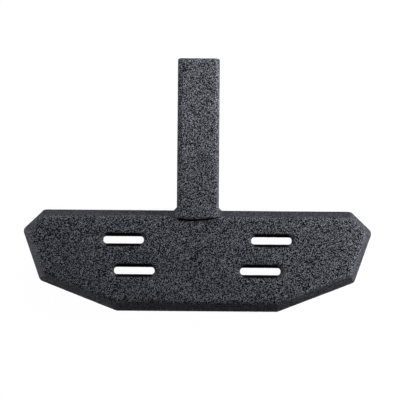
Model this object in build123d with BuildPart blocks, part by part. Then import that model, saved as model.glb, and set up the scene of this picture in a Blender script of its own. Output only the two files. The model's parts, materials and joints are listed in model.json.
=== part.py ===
from build123d import *
import os
from math import cos, radians, sin, tan

# Hitch receiver step: a folded tread tray welded to a square shank for a two-inch hitch receiver.
# Millimetres. The origin is the centre of the hitch pin hole, on the axis of the shank.
# +X runs along the pin hole, +Y towards the vehicle and +Z up. The step lies flat on its rim and shank.

# Shank tube
shank_size = 50.8
shank_wall = 4.8
shank_corner_radius = 6.5
shank_tail = 60.0  # pin hole to the open end
shank_reach = 124.0  # pin hole to the rear rim of the tray
shank_edge_break = 0.8  # edges of the open end
pin_hole_diameter = 16.5

# Tray outline, measured on the rim, with depths taken forwards from the rear rim
rear_width = 381.0
point_width = 434.0
waist_width = 390.0
front_width = 200.0
point_depth = 25.4
waist_depth = 88.0
tray_depth = 125.0

# Folded sheet
sheet = 4.0
tray_height = 46.0
flange_lean = 12.0  # degrees off vertical
bend_radius = 6.0  # outside of the fold between the tread and a flange
seam_ease = 0.5  # by which the corners between flanges are rounder than the folds

# Drawn slots, two in the rear row and two in the front row, sized at their lower edge
slot_length = 49.5
slot_width = 8.5
slot_end_radius = 3.5
slot_depth = 10.0  # from the top of the tread to the lower edge of the collar
slot_lean = 14.0  # degrees off vertical
slot_collar = 3.0  # wall of the collar
slot_roll = 5.0  # rounding of the upper edge
rear_slot_spacing = 181.0
front_slot_spacing = 154.0
rear_slot_setback = 38.5
front_slot_setback = 76.0

# Welds and stiffener ribs
shank_weld_leg = 4.5  # width of the bead on the tube and on the flange
shank_weld_turn = 7.0  # bend of the bead where it passes round the tube's upper corners
shank_weld_stop = 1.2  # from the rim up to the end of the bead, along the flange
rib_thickness = 5.0
rib_lift = 8.0  # from the rim up to the lower edge of a rib
rib_snipe = 7.0  # corner cut off where a rib passes the fold
rib_weld_radius = 4.0
rib_weld_length = 30.0
rib_weld_spacing = 50.0
seam_weld_radius = 3.2
seam_weld_stop = 3.0  # clear of the rim at one end of a seam bead and of the fold at the other

# Levels and places that follow from the sizes
rim_z = -shank_size / 2
tread_z = rim_z + tray_height
under_z = tread_z - sheet
rear_y = -shank_reach
front_y = rear_y - tray_depth
inside_height = tray_height - sheet
lean = radians(flange_lean)

# Corners of the rim, anticlockwise from the right end of the front side
right_corners = [
    Vector(rear_width / 2, rear_y, rim_z),
    Vector(point_width / 2, rear_y - point_depth, rim_z),
    Vector(waist_width / 2, rear_y - waist_depth, rim_z),
    Vector(front_width / 2, front_y, rim_z),
]
left_corners = [Vector(-corner.X, corner.Y, rim_z) for corner in right_corners]
rim_corners = right_corners[::-1] + left_corners


def flange_inset(height, depth_in_sheet):
    """Distance in plan from the rim outline to a flange, at a height above the rim."""
    return height * tan(lean) + depth_in_sheet / cos(lean)


def flange_corners(height, depth_in_sheet):
    """Corners between the flanges at a height above the rim."""
    inset = flange_inset(height, depth_in_sheet)
    corners = []
    for n, corner in enumerate(rim_corners):
        before = (corner - rim_corners[n - 1]).normalized()
        after = (rim_corners[(n + 1) % len(rim_corners)] - corner).normalized()
        inwards = (after - before).normalized()
        reach = inset / before.cross(inwards).length
        corners.append(corner + inwards * reach + Vector(0, 0, height))
    return corners


def flange_plane(corner, upwards, along):
    """Plane of a flange through one of its corners, facing into the tray."""
    return Plane(corner, z_dir=upwards.cross(along))


def tray_form(height, depth_in_sheet):
    """Solid block with the tray's sloping sides, at a depth inside the sheet."""
    lower = flange_corners(0, depth_in_sheet)
    upper = flange_corners(height, depth_in_sheet)
    with BuildPart() as form:
        with BuildSketch(Plane.XY.offset(rim_z)):
            Polygon(*[(corner.X, corner.Y) for corner in lower], align=None)
        extrude(amount=height)
        for n, corner in enumerate(lower):
            along = lower[(n + 1) % len(lower)] - corner
            split(bisect_by=flange_plane(corner, upper[n] - corner, along), keep=Keep.TOP)
    return form.part


def fold_edges(form):
    """Edges of the flat top of a tray form."""
    return form.faces().sort_by(Axis.Z)[-1].edges()


# Tread tray: folded sheet, with its corners dressed round and four slots drawn downwards
with BuildPart() as tray_hollow:
    add(tray_form(inside_height, sheet))
    fillet(fold_edges(tray_hollow), bend_radius - sheet)

slot_places = [
    (side * spacing / 2, rear_y - setback)
    for spacing, setback in (
        (rear_slot_spacing, rear_slot_setback),
        (front_slot_spacing, front_slot_setback),
    )
    for side in (-1, 1)
]


def slot_sketch(height, margin):
    """Outline of the four slots at a height above the lower edge of their collars."""
    grow = height * tan(radians(slot_lean)) + margin
    with BuildSketch(Plane.XY.offset(tread_z - slot_depth + height)) as outline:
        with Locations(*slot_places):
            RectangleRounded(slot_length + 2 * grow, slot_width + 2 * grow, slot_end_radius + grow)
    return outline.sketch


collar_height = slot_depth - sheet / 2
with BuildPart() as step_tray:
    add(tray_form(tray_height, 0))
    seam_edges = step_tray.edges() - step_tray.faces().filter_by(Plane.XY).edges()
    fillet(seam_edges, bend_radius + seam_ease)
    fillet(fold_edges(step_tray), bend_radius)
    add(tray_hollow.part, mode=Mode.SUBTRACT)
    extrude(slot_sketch(collar_height, slot_collar), amount=-collar_height, taper=slot_lean)
    extrude(slot_sketch(slot_depth, 0), amount=-slot_depth, taper=slot_lean, mode=Mode.SUBTRACT)
    tread_face = step_tray.faces().sort_by(Axis.Z)[-1]
    fillet(tread_face.inner_wires().edges(), slot_roll)

# Shank tube, cut to the lean of the rear flange, with the hitch pin hole through both side walls
rear_flange = Plane(origin=(0, rear_y, rim_z), x_dir=(-1, 0, 0), z_dir=(0, cos(lean), sin(lean)))
shank_end = Plane.XZ.offset(-shank_tail)
shank_length = shank_tail + shank_reach + tray_height

with BuildPart() as shank_block:
    with BuildSketch(shank_end):
        RectangleRounded(shank_size, shank_size, shank_corner_radius)
    extrude(amount=shank_length)
    split(bisect_by=rear_flange, keep=Keep.TOP)

with BuildPart() as shank_tube:
    add(shank_block.part)
    with BuildSketch(shank_end):
        bore = shank_size - 2 * shank_wall
        RectangleRounded(bore, bore, shank_corner_radius - shank_wall)
    extrude(amount=shank_length, mode=Mode.SUBTRACT)
    chamfer(shank_tube.faces().sort_by(Axis.Y)[-1].edges(), shank_edge_break)
    with BuildSketch(Plane.YZ):
        Circle(pin_hole_diameter / 2)
    extrude(amount=shank_size, both=True, mode=Mode.SUBTRACT)

# The tray's section at the shank, which trims the bead to the flange, the fold and the tread
weld_side = shank_size / 2
weld_top = tray_height / cos(lean)
with BuildPart() as fold_block:
    with BuildSketch(Plane.YZ) as fold_section:
        top_inset = flange_inset(tray_height, 0)
        Polygon(
            (rear_y, rim_z),
            (rear_y - top_inset, tread_z),
            (front_y, tread_z),
            (front_y, rim_z),
            align=None,
        )
        fillet(fold_section.vertices().group_by(Axis.Y)[-1].sort_by(Axis.X)[-1], bend_radius)
    extrude(amount=shank_size, both=True)

# Weld bead up one side of the tube, over the fold and down the other side
with BuildPart() as shank_weld:
    for side in (-1, 1):
        run_start = rear_flange.from_local_coords((side * weld_side, shank_weld_stop, 0))
        run_end = rear_flange.from_local_coords((side * weld_side, weld_top - shank_weld_turn, 0))
        turn_centre = run_end - rear_flange.x_dir * side * shank_weld_turn
        with BuildSketch(Plane(run_start, rear_flange.x_dir, rear_flange.y_dir)):
            RegularPolygon(shank_weld_leg, 4)
        extrude(amount=(run_end - run_start).length)
        with BuildSketch(Plane(run_end, rear_flange.x_dir, rear_flange.y_dir)):
            RegularPolygon(shank_weld_leg, 4)
        revolve(axis=Axis(turn_centre, rear_flange.z_dir * side), revolution_arc=90)
    over_start = rear_flange.from_local_coords((shank_weld_turn - weld_side, weld_top, 0))
    with BuildSketch(Plane(over_start, rear_flange.y_dir, rear_flange.x_dir)):
        RegularPolygon(shank_weld_leg, 4)
    extrude(amount=2 * (weld_side - shank_weld_turn))
    add(shank_block.part, mode=Mode.SUBTRACT)
    add(fold_block.part, mode=Mode.SUBTRACT)

# Stiffener ribs under the tread, in line with the side walls of the tube
rib_x = (shank_size - shank_wall) / 2


def stiffener_rib(x):
    """Flat bar on edge, from the rear flange to the front flange."""
    low_inset = flange_inset(rib_lift, sheet)
    high_inset = flange_inset(inside_height, sheet)
    with BuildPart() as rib:
        with BuildSketch(Plane.YZ.offset(x)) as profile:
            Polygon(
                (front_y + low_inset, rim_z + rib_lift),
                (rear_y - low_inset, rim_z + rib_lift),
                (rear_y - high_inset, under_z),
                (front_y + high_inset, under_z),
                align=None,
            )
            chamfer(profile.vertices().group_by(Axis.Y)[-1], rib_snipe)
        extrude(amount=rib_thickness / 2, both=True)
    return rib


stiffener_rib_left = stiffener_rib(-rib_x)
stiffener_rib_right = stiffener_rib(rib_x)

# Stitch welds in the angle between the outer faces of the ribs and the tread
rib_face_x = rib_x + rib_thickness / 2
rib_middle_y = (rear_y + front_y) / 2
stitch_places = [rib_middle_y + side * rib_weld_spacing / 2 for side in (-1, 1)]
with BuildPart() as rib_welds:
    with BuildSketch(*[Plane.XZ.offset(-y) for y in stitch_places]):
        with Locations((-rib_face_x, under_z), (rib_face_x, under_z)):
            Circle(rib_weld_radius)
        with Locations((0, under_z)):
            Rectangle(2 * rib_face_x, 2 * rib_weld_radius, mode=Mode.SUBTRACT)
            Rectangle(
                2 * (rib_face_x + rib_weld_radius),
                rib_weld_radius,
                align=(Align.CENTER, Align.MIN),
                mode=Mode.SUBTRACT,
            )
    extrude(amount=rib_weld_length / 2, both=True)

# Seam beads inside the eight corners of the tray, each trimmed by the two flanges that meet there
lower_ends = flange_corners(seam_weld_stop, sheet)
upper_ends = flange_corners(inside_height - bend_radius - seam_weld_stop, sheet)


def seam_bead(n):
    """Bead in the corner between two flanges."""
    start = lower_ends[n]
    upwards = upper_ends[n] - start
    along_flanges = (start - lower_ends[n - 1], lower_ends[(n + 1) % len(lower_ends)] - start)
    with BuildPart() as bead:
        with BuildSketch(Plane(start, z_dir=upwards)):
            Circle(seam_weld_radius)
        extrude(amount=upwards.length)
        for along in along_flanges:
            split(bisect_by=flange_plane(start, upwards, along), keep=Keep.TOP)
    return bead.part


with BuildPart() as corner_welds:
    for n in range(len(rim_corners)):
        add(seam_bead(n))

os.makedirs("parts", exist_ok=True)
pieces = {
    "step_tray": step_tray,
    "shank_tube": shank_tube,
    "shank_weld": shank_weld,
    "stiffener_rib_left": stiffener_rib_left,
    "stiffener_rib_right": stiffener_rib_right,
    "rib_welds": rib_welds,
    "corner_welds": corner_welds,
}
for name, piece in pieces.items():
    piece.part.label = name
    export_step(piece.part, f"parts/{name}.step")
    print(name, len(piece.solids()), "solids", round(piece.part.volume), "mm3")
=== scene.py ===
# %% [markdown]
# # Hitch receiver step
# The real object is a folded steel tread tray welded to a square tube. All of it wears one coarse
# black textured coat, which is what the eye sees first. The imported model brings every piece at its
# real size, in metres, with +Z up and the hitch pin hole at the origin. The lesson keeps that form
# and spends its effort on the coat, the weld bead, the light and the camera.

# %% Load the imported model
import json
import math

import bmesh
import bpy
from mathutils import Matrix, Vector, noise


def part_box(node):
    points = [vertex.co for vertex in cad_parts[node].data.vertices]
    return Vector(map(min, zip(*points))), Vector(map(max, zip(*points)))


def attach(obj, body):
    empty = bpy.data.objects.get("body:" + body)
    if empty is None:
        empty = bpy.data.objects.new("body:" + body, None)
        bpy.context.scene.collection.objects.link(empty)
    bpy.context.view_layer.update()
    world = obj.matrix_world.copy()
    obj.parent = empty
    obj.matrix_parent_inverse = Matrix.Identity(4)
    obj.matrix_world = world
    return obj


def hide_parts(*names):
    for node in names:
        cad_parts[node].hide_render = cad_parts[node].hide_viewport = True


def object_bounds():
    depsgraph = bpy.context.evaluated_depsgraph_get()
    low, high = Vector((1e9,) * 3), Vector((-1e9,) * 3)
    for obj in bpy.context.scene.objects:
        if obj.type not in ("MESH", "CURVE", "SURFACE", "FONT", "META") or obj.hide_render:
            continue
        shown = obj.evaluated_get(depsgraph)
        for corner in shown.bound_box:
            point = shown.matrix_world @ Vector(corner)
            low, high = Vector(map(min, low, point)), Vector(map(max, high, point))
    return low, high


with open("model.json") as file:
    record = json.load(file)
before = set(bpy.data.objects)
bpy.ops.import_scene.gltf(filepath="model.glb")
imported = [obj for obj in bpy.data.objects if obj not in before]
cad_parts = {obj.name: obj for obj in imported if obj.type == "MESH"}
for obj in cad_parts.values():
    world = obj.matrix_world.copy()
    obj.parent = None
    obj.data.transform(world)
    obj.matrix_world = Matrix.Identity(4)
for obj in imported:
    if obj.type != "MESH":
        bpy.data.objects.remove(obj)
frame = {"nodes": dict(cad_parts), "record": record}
cad_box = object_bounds()
print("nodes:", sorted(frame["nodes"]))
print("CAD box in metres:", [tuple(round(v, 4) for v in corner) for corner in cad_box])

# %% [markdown]
# ## Camera
# The photograph looks almost straight down from far away, so upright lines hardly spread. A long
# lens more than two metres up gives the same flat look. The turn is built from three axes instead of
# a tracking constraint, because "up" in the picture is the object's +Y and not the world's +Z.

# %% Camera
CAMERA_PLACE = Vector((-0.006, -0.25, 2.4))
AIM_PLACE = Vector((0.0026, -0.1137, 0.0254))
CAMERA_ROLL = math.radians(0.456)
LENS_MM = 175.6
SENSOR_MM = 36.0


def looking_from(place, aim, picture_up, roll):
    """Matrix of a camera at a place that looks at a point."""
    back = (place - aim).normalized()
    right = picture_up.cross(back).normalized()
    up = back.cross(right)
    turn = Matrix((right, up, back)).transposed().to_4x4()
    return Matrix.Translation(place) @ turn @ Matrix.Rotation(roll, 4, "Z")


camera_data = bpy.data.cameras.new("photo_camera")
camera_data.lens = LENS_MM
camera_data.sensor_width = SENSOR_MM
camera = bpy.data.objects.new("photo_camera", camera_data)
camera.matrix_world = looking_from(CAMERA_PLACE, AIM_PLACE, Vector((0, 1, 0)), CAMERA_ROLL)
bpy.context.scene.collection.objects.link(camera)
bpy.context.scene.camera = camera
print("camera distance:", round((CAMERA_PLACE - AIM_PLACE).length, 3), "m")

# %% [markdown]
# ## Floor and light
# The object lies on a plain white sheet that the photograph shows without any shadow. The floor
# glows by itself, so that it stays white in the slots, and it is hidden from bounced rays, so that
# it doesn't wash out the dark flanges. One big lamp overhead would light every flange alike. The
# photograph is brightest on the right and along the tube, and its front flange is almost black. So
# low strips round the tray light the flanges one by one, three higher softboxes light the tread from
# behind, right and left, and a narrow spot lifts the tube.

# %% Floor
FLOOR_WIDTH = 40.0
FLOOR_GLOW = 0.985
FLOOR_GREY = 0.03
FLOOR_ROUGHNESS = 0.9


def pale_floor_material():
    """Matt sheet that is white by its own glow."""
    material = bpy.data.materials.new("pale_floor")
    material.use_nodes = True
    shader = material.node_tree.nodes["Principled BSDF"]
    shader.inputs["Base Color"].default_value = (FLOOR_GREY, FLOOR_GREY, FLOOR_GREY, 1)
    shader.inputs["Roughness"].default_value = FLOOR_ROUGHNESS
    shader.inputs["Emission Color"].default_value = (1, 1, 1, 1)
    shader.inputs["Emission Strength"].default_value = FLOOR_GLOW
    return material


floor_mesh = bpy.data.meshes.new("floor")
floor_bm = bmesh.new()
floor_place = Matrix.Translation((0, 0, cad_box[0].z))
bmesh.ops.create_grid(floor_bm, x_segments=1, y_segments=1, size=FLOOR_WIDTH / 2, matrix=floor_place)
floor_bm.to_mesh(floor_mesh)
floor_bm.free()
floor = bpy.data.objects.new("floor", floor_mesh)
floor.data.materials.append(pale_floor_material())
bpy.context.scene.collection.objects.link(floor)
floor.visible_diffuse = False
floor.visible_glossy = False
print("floor at z", round(cad_box[0].z, 4), "m")

# %% Lights
WORLD_GLOW = 0.02
TRAY_MIDDLE = (0.0, -0.15, 0.0)
SHANK_MIDDLE = (0.0, 0.03, 0.02)
LAMP_UP = Vector((0, 0.3, 1))
LIGHTS = {
    # name: (place, aim, width, spread in degrees, watts)
    "rear_softbox": ((0.0, 0.45, 0.4), TRAY_MIDDLE, 0.3, 180, 1.9),
    "near_right_softbox": ((0.55, -0.06, 0.25), TRAY_MIDDLE, 0.3, 180, 2.8),
    "right_strip": ((1.0, -0.16, 0.03), TRAY_MIDDLE, 0.3, 180, 3.05),
    "left_softbox": ((-1.15, 0.1, 0.25), TRAY_MIDDLE, 0.5, 180, 2.9),
    "left_strip": ((-1.0, -0.16, 0.03), TRAY_MIDDLE, 0.3, 180, 3.2),
    "left_rear_strip": ((-0.8, 0.7, 0.03), TRAY_MIDDLE, 0.3, 180, 0.6),
    "right_front_strip": ((0.8, -1.0, 0.03), TRAY_MIDDLE, 0.3, 180, 1.4),
    "left_front_strip": ((-0.8, -1.0, 0.03), TRAY_MIDDLE, 0.3, 180, 2.45),
    "tube_spot": ((0.6, 0.15, 0.25), SHANK_MIDDLE, 0.2, 30, 0.166),
}


def softbox(name, place, aim, width, spread, watts):
    """Square area light that looks at a point."""
    light = bpy.data.lights.new(name, "AREA")
    light.size = width
    light.spread = math.radians(spread)
    light.energy = watts
    lamp = bpy.data.objects.new(name, light)
    lamp.matrix_world = looking_from(Vector(place), Vector(aim), LAMP_UP, 0)
    lamp.visible_camera = False
    bpy.context.scene.collection.objects.link(lamp)


for name, settings in LIGHTS.items():
    softbox(name, *settings)

world = bpy.data.worlds.new("studio")
bpy.context.scene.world = world
world.use_nodes = True
world.node_tree.nodes["Background"].inputs["Color"].default_value = (1, 1, 1, 1)
world.node_tree.nodes["Background"].inputs["Strength"].default_value = WORLD_GLOW
bpy.context.scene.view_settings.view_transform = "Standard"
print("lights:", len(LIGHTS))

# %% [markdown]
# ## Coat material
# The finish is a thick black coat full of grains about a millimetre wide. From a step away each
# grain is a light speck on black, because its top catches the light and the gaps between grains
# don't. A photograph of the coat isn't needed: a Voronoi texture scatters one grain in each cell.
# The distance from a grain's middle gives its bump. It also paints a highlight on the grain's round
# top and painted shade in the gaps between grains, and the cell's random colour makes some grains
# lighter than others. On the long walls of the slots and at the foot of the bead, a value stored on
# the mesh takes the grains' lightness away, as painted shade.

# %% Coat material
GRAIN_SIZE = 0.0010
GRAIN_RELIEF = 0.00015
GRAIN_TOP = 0.25
GRAIN_FOOT = 0.60
COAT_BLACK_AND_SHADE = (0.0020, 0.0020, 0.0024, 1)
GRAIN_TONE_AND_HIGHLIGHT = (0.5200, 0.5270, 0.6240, 1)
COAT_ROUGHNESS = 0.6
COAT_SHEEN = 0.06


def textured_coat_material():
    """Coarse black coat with light grains."""
    material = bpy.data.materials.new("textured_coat")
    material.use_nodes = True
    nodes = material.node_tree.nodes
    links = material.node_tree.links
    shader = nodes["Principled BSDF"]
    place = nodes.new("ShaderNodeTexCoord")
    grain = nodes.new("ShaderNodeTexVoronoi")
    grain.inputs["Scale"].default_value = 1 / GRAIN_SIZE
    links.new(place.outputs["Object"], grain.inputs["Vector"])

    # Lightness: a painted highlight, 1 on top of a grain, down to painted shade, 0 at its foot, times
    # the grain's own random share
    grain_highlight_and_gap_shade = nodes.new("ShaderNodeMapRange")
    grain_highlight_and_gap_shade.inputs["From Min"].default_value = GRAIN_TOP
    grain_highlight_and_gap_shade.inputs["From Max"].default_value = GRAIN_FOOT
    grain_highlight_and_gap_shade.inputs["To Min"].default_value = 1
    grain_highlight_and_gap_shade.inputs["To Max"].default_value = 0
    links.new(grain.outputs["Distance"], grain_highlight_and_gap_shade.inputs["Value"])
    share = nodes.new("ShaderNodeSeparateColor")
    links.new(grain.outputs["Color"], share.inputs["Color"])
    lightness = nodes.new("ShaderNodeMath")
    lightness.operation = "MULTIPLY"
    links.new(grain_highlight_and_gap_shade.outputs["Result"], lightness.inputs[0])
    links.new(share.outputs["Red"], lightness.inputs[1])
    # Painted shade: the value on the mesh darkens the slots' long walls and the bead's foot
    shaded_recess = nodes.new("ShaderNodeAttribute")
    shaded_recess.attribute_name = "shaded_recess"
    unshaded = nodes.new("ShaderNodeMath")
    unshaded.operation = "SUBTRACT"
    unshaded.inputs[0].default_value = 1
    links.new(shaded_recess.outputs["Fac"], unshaded.inputs[1])
    shown = nodes.new("ShaderNodeMath")
    shown.operation = "MULTIPLY"
    links.new(lightness.outputs["Value"], shown.inputs[0])
    links.new(unshaded.outputs["Value"], shown.inputs[1])

    # Dark end: the coat's black and painted shade; light end: painted highlight on grain tops, with
    # the grains' own tint
    colours = nodes.new("ShaderNodeValToRGB")
    colours.color_ramp.elements[0].color = COAT_BLACK_AND_SHADE
    colours.color_ramp.elements[1].color = GRAIN_TONE_AND_HIGHLIGHT
    links.new(shown.outputs["Value"], colours.inputs["Fac"])
    links.new(colours.outputs["Color"], shader.inputs["Base Color"])
    shader.inputs["Roughness"].default_value = COAT_ROUGHNESS
    shader.inputs["Specular IOR Level"].default_value = COAT_SHEEN

    bump = nodes.new("ShaderNodeBump")
    bump.invert = True
    bump.inputs["Strength"].default_value = 1.0
    bump.inputs["Distance"].default_value = GRAIN_RELIEF
    links.new(grain.outputs["Distance"], bump.inputs["Height"])
    links.new(bump.outputs["Normal"], shader.inputs["Normal"])
    return material


coat = textured_coat_material()
print("coat nodes:", len(coat.node_tree.nodes))

# %% [markdown]
# ## Coated metal
# The coat is sprayed on thick, so it softens every edge and swells in waves about two millimetres
# wide. A CAD mesh has long thin triangles with no points to lift. Subdivision would follow those
# triangles, so each piece is wrapped in an even net by the voxel Remesh modifier, which gives the
# next steps points to move.

# %% Even net
MERGE_DISTANCE = 1e-6


def merged_copy(node, name):
    """New object with the faces of a CAD node, joined along their edges."""
    bm = bmesh.new()
    bm.from_mesh(frame["nodes"][node].data)
    bmesh.ops.remove_doubles(bm, verts=bm.verts, dist=MERGE_DISTANCE)
    mesh = bpy.data.meshes.new(name)
    bm.to_mesh(mesh)
    bm.free()
    piece = bpy.data.objects.new(name, mesh)
    bpy.context.scene.collection.objects.link(piece)
    return piece


def apply_modifiers(piece):
    """Makes the modifiers' result the piece's own mesh."""
    seen = piece.evaluated_get(bpy.context.evaluated_depsgraph_get())
    mesh = bpy.data.meshes.new_from_object(seen)
    piece.modifiers.clear()
    piece.data = mesh


def even_net(piece, cell):
    """Wraps the piece in a net of square faces of one size."""
    remesh = piece.modifiers.new("even_net", "REMESH")
    remesh.mode = "VOXEL"
    remesh.voxel_size = cell
    remesh.use_smooth_shade = True
    apply_modifiers(piece)
    print(piece.name, "faces of the net:", len(piece.data.polygons))


# %% [markdown]
# ## Coat in the round
# Bump alone leaves the outline of an edge dead straight. The coat's thickness and its coarser
# waves are therefore real: every point of the net moves out along its normal, by a steady
# thickness plus a smooth noise.

# %% Coat height
COAT_THICKNESS = 0.0003
WAVE_WIDTH = 0.0021
WAVE_HEIGHT = 0.00014


def coat_height(point):
    """How far the coat stands off the metal at a point."""
    return COAT_THICKNESS + WAVE_HEIGHT * noise.noise(point / WAVE_WIDTH)


def raise_coat(piece):
    """Moves each point of the net along its normal, by the height of the coat there."""
    bm = bmesh.new()
    bm.from_mesh(piece.data)
    bm.normal_update()
    for vert in bm.verts:
        vert.co += vert.normal * coat_height(vert.co)
    bm.to_mesh(piece.data)
    bm.free()


# %% [markdown]
# ## Weld bead
# Over the tray the bead is round: it leaves the top of the tube level and meets the tread upright,
# so its foot lies in a dark line. The CAD bead is flat there. A bevel would only soften its edges,
# so the points in front of the tube are moved onto a quarter circle that stands on the tread. A bead
# laid by hand isn't straight, so the circle lies further back towards the ends of the line. The move
# fades out past the tube's corners, where the bead turns down the flange.

# %% Weld bead
BEAD_CENTRE = 0.0007
LOWEST_X = -0.005
LINE_HALF_LENGTH = 0.024
LINE_LIFT = 0.0025
MOVE_FULL_X = 0.0225
MOVE_END_X = 0.029
OUTER_FACING = 0.5


def fade(value, start, end):
    """1 up to the start, 0 past the end and smooth between them."""
    t = min(1.0, max(0.0, (end - value) / (end - start)))
    return t * t * (3 - 2 * t)


tube_low, tube_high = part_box("shank_tube")
tread_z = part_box("step_tray")[1].z
bead_radius = tube_high.z - tread_z


def circle_y(x):
    """Where the middle of the bead's quarter circle lies, at a place along the line."""
    return tube_low.y + BEAD_CENTRE + LINE_LIFT * ((x - LOWEST_X) / LINE_HALF_LENGTH) ** 2


def round_bead(piece):
    """Moves the front of the bead onto a quarter circle between the tube's top and the tread."""
    bm = bmesh.new()
    bm.from_mesh(piece.data)
    bm.normal_update()
    moved = 0
    for vert in bm.verts:
        middle_y = circle_y(vert.co.x)
        height = max(0.0, vert.co.z - tread_z)
        round_y = middle_y - math.sqrt(max(0.0, bead_radius ** 2 - height ** 2))
        looks_out = vert.normal.z - vert.normal.y > OUTER_FACING and vert.co.z > tread_z
        behind = round_y < vert.co.y < middle_y and looks_out
        in_front = vert.co.y < round_y
        if behind or in_front:
            vert.co.y += (round_y - vert.co.y) * fade(abs(vert.co.x), MOVE_FULL_X, MOVE_END_X)
            moved += 1
    bm.to_mesh(piece.data)
    bm.free()
    print("points of the bead moved:", moved)


# %% [markdown]
# ## Underside
# Half of the tray's net lies under the tread, where the same fine cells are of little use. The
# whole net could be coarser, but the top needs its cells. A Decimate modifier with a vertex group
# takes faces away only where the group says, so the group holds the points that look down.

# %% Underside
UNDERSIDE_TILT = -0.12
FACES_KEPT = 0.56


def thin_underside(piece, share):
    """Leaves a share of the faces, all of the loss being on faces that look down."""
    group = piece.vertex_groups.new(name="underside")
    downward = [v.index for v in piece.data.vertices if v.normal.z < UNDERSIDE_TILT]
    group.add(downward, 1.0, "REPLACE")
    thin = piece.modifiers.new("thin_underside", "DECIMATE")
    thin.ratio = share
    thin.vertex_group = "underside"
    apply_modifiers(piece)


# %% [markdown]
# ## Painted shade in recesses
# The long walls of the slots and the foot of the bead lie in shade. They are painted black, with no
# grains, as painted shade. A second material would need its own faces and a hard border. A value on
# each point blends softly instead, and the coat material reads it as an attribute. Points that look
# down keep 0, so that the outside of a slot's lip is coated like the rest of the underside.

# %% Painted shade in recesses
SLOT_HALF_LENGTH = 0.0195
SLOT_END = 0.0245
SLOT_HALF_WIDTH = 0.013
RIM_DEPTH = 0.0002
WALL_DEPTH = 0.0010
BEAD_FOOT_START = 0.45
BEAD_FOOT_FULL = 0.70
slots = [o["box_m"] for o in frame["record"]["physics"]["openings"] if o["name"].endswith("_slot")]
slot_middles = [((low[0] + high[0]) / 2, (low[1] + high[1]) / 2) for low, high in slots]


def slot_wall_shade(point):
    """Painted shade: 1 on the long walls of a slot, 0 on the open tread."""
    for middle_x, middle_y in slot_middles:
        across = abs(point.x - middle_x)
        along = abs(point.y - middle_y)
        if across < SLOT_END and along < SLOT_HALF_WIDTH:
            depth = tread_z + COAT_THICKNESS - point.z
            return (1 - fade(depth, RIM_DEPTH, WALL_DEPTH)) * fade(across, SLOT_HALF_LENGTH, SLOT_END)
    return 0.0


def bead_foot_shade(point):
    """Painted shade: 1 at the foot of the bead in front of the tube, 0 on its top and past its
    corners.
    """
    forward = (circle_y(point.x) - point.y) / bead_radius
    at_foot = 1 - fade(forward, BEAD_FOOT_START, BEAD_FOOT_FULL)
    return at_foot * fade(abs(point.x), MOVE_FULL_X, MOVE_END_X)


# Painted shade in recesses, for the pieces that have them
RECESS_SHADES = {"step_tray": slot_wall_shade, "shank_weld": bead_foot_shade}


def paint_recess_shade(piece, shade_at):
    """Stores on each point of the piece how much painted shade it gets in a recess."""
    value = piece.data.attributes.new("shaded_recess", "FLOAT", "POINT")
    deep = 0
    for vert in piece.data.vertices:
        if vert.normal.z > UNDERSIDE_TILT:
            value.data[vert.index].value = shade_at(vert.co)
        deep += value.data[vert.index].value > 0.5
    print(piece.name, "points in a recess:", deep)


# %% [markdown]
# ## Coated pieces
# Each piece of the step is wrapped, coated and put in place of its CAD solid. The two pieces that
# show most get cells of about a millimetre, a little less than a pixel of the photograph, and the
# weld beads get finer ones, because they are thin.

# %% Coated pieces
NET_CELLS = {
    "step_tray": 0.00105,
    "shank_tube": 0.00105,
    "shank_weld": 0.0006,
    "stiffener_rib_left": 0.0014,
    "stiffener_rib_right": 0.0014,
    "rib_welds": 0.0007,
    "corner_welds": 0.0007,
}
for node, cell in NET_CELLS.items():
    piece = merged_copy(node, "coated_" + node)
    even_net(piece, cell)
    if node == "shank_weld":
        round_bead(piece)
        even_net(piece, cell)
    raise_coat(piece)
    if node == "step_tray":
        thin_underside(piece, FACES_KEPT)
    if node in RECESS_SHADES:
        paint_recess_shade(piece, RECESS_SHADES[node])
    piece.data.materials.clear()
    piece.data.materials.append(coat)
    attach(piece, "root")
    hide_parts(node)
    triangles = sum(len(face.vertices) - 2 for face in piece.data.polygons)
    print(piece.name, "triangles:", triangles)
